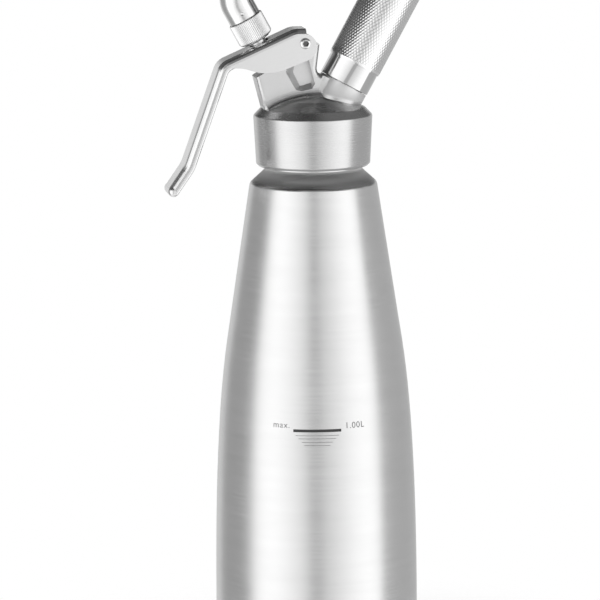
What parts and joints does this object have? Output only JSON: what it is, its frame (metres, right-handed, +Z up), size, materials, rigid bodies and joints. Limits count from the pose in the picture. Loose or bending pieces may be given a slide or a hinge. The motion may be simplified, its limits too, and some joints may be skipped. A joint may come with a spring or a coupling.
{
  "type": "whipped cream dispenser",
  "caption": "Steel cream dispenser bottle with a screw-on head, squeeze lever valve, elbow spout with star nozzle and a leaning knurled charger holder.",
  "frame": {"origin": "centre of the bottle's base, on the plane it stands on", "axes": "+Z up along the bottle's axis, the lever and spout towards -X, the charger holder towards +X, and the head's mirror plane is y = 0"},
  "size_m": [0.1365, 0.1, 0.3887],
  "materials": {
    "bottle_steel": "fine brush lines round the axis",
    "cast_satin": "satin blasted casting with a turned ring",
    "silicone_white": "soft matt",
    "stem_steel": "turned",
    "black_rubber": "soft matt",
    "spring_wire": "drawn wire",
    "lever_polished": "polished edges with satin sides",
    "screw_steel": "polished",
    "spout_polished": "polished",
    "nut_knurled": "straight knurl",
    "nozzle_steel": "satin",
    "holder_knurled": "diamond knurl with a polished band",
    "charger_steel": "plain drawn steel",
    "cap_steel": "thin foil cap",
    "nipple_steel": "turned with a cut thread"
  },
  "bodies": {
    "bottle": {"bottle": "bottle_steel"},
    "head_seal": {"head_seal": "silicone_white"},
    "head": {"head": "cast_satin", "lever_pin_sleeve": "stem_steel", "lever_pin_screws": "screw_steel", "charge_nipple": "nipple_steel", "piercing_pin": "stem_steel", "charger_gasket": "black_rubber", "inlet_valve_rubber": "black_rubber", "inlet_valve_nut": "nipple_steel", "return_spring": "spring_wire"},
    "lever": {"lever": "lever_polished"},
    "stem": {"valve_stem": "stem_steel", "valve_seal": "black_rubber", "stem_o_ring": "black_rubber", "thrust_nut": "stem_steel", "spout_fitting": "stem_steel"},
    "spout_washer": {"spout_seal": "black_rubber"},
    "spout": {"spout_tube": "spout_polished"},
    "spout_nut": {"spout_nut": "nut_knurled"},
    "nozzle": {"nozzle_tip": "nozzle_steel"},
    "charger": {"gas_charger": "charger_steel", "charger_seal_cap": "cap_steel"},
    "holder": {"charger_holder": "holder_knurled", "holder_pad": "black_rubber"}
  },
  "joints": [
    {"name": "head_lift", "type": "slide", "parent": "bottle", "child": "head_seal", "axis": [0, 0, 1], "range_m": [0, 0.012]},
    {"name": "head_turn", "type": "hinge", "parent": "head_seal", "child": "head", "pos_m": [0, 0, 0.2621], "axis": [0, 0, 1], "range_deg": [0, 1440]},
    {"name": "lever_squeeze", "type": "hinge", "parent": "head", "child": "lever", "pos_m": [-0.00491, 0, 0.32245], "axis": [0, -1, 0], "range_deg": [0, 10], "stiffness_Nm_per_rad": 0.9, "springref_deg": -12.61},
    {"name": "valve_press", "type": "slide", "parent": "head", "child": "stem", "axis": [0.4772, 0, -0.8788], "range_m": [0, 0.0033], "deforming": ["return_spring"]},
    {"name": "spout_lift", "type": "slide", "parent": "stem", "child": "spout_washer", "axis": [-0.4772, 0, 0.8788], "range_m": [0, 0.006]},
    {"name": "spout_swivel", "type": "hinge", "parent": "spout_washer", "child": "spout", "pos_m": [-0.03073, 0, 0.3304], "axis": [-0.4772, 0, 0.8788], "range_deg": [-180, 180]},
    {"name": "spout_nut_turn", "type": "hinge", "parent": "spout", "child": "spout_nut", "pos_m": [-0.02863, 0, 0.32653], "axis": [-0.4772, 0, 0.8788], "range_deg": [0, 2160]},
    {"name": "nozzle_off", "type": "slide", "parent": "spout", "child": "nozzle", "axis": [0, 0, 1], "range_m": [0, 0.0095]},
    {"name": "charger_lift", "type": "slide", "parent": "head", "child": "charger", "axis": [0.4848, 0, 0.8746], "range_m": [0, 0.0105]},
    {"name": "holder_turn", "type": "hinge", "parent": "charger", "child": "holder", "pos_m": [0.01939, 0, 0.30878], "axis": [0.4848, 0, 0.8746], "range_deg": [0, 2520]}
  ],
  "couplings": [
    {"joint": "head_lift", "follows": "head_turn", "m_per_rad": 0.00047746},
    {"joint": "valve_press", "follows": "lever_squeeze", "m_per_rad": 0.0189},
    {"joint": "spout_lift", "follows": "spout_nut_turn", "m_per_rad": 0.00015915},
    {"joint": "charger_lift", "follows": "holder_turn", "m_per_rad": 0.00023873}
  ]
}
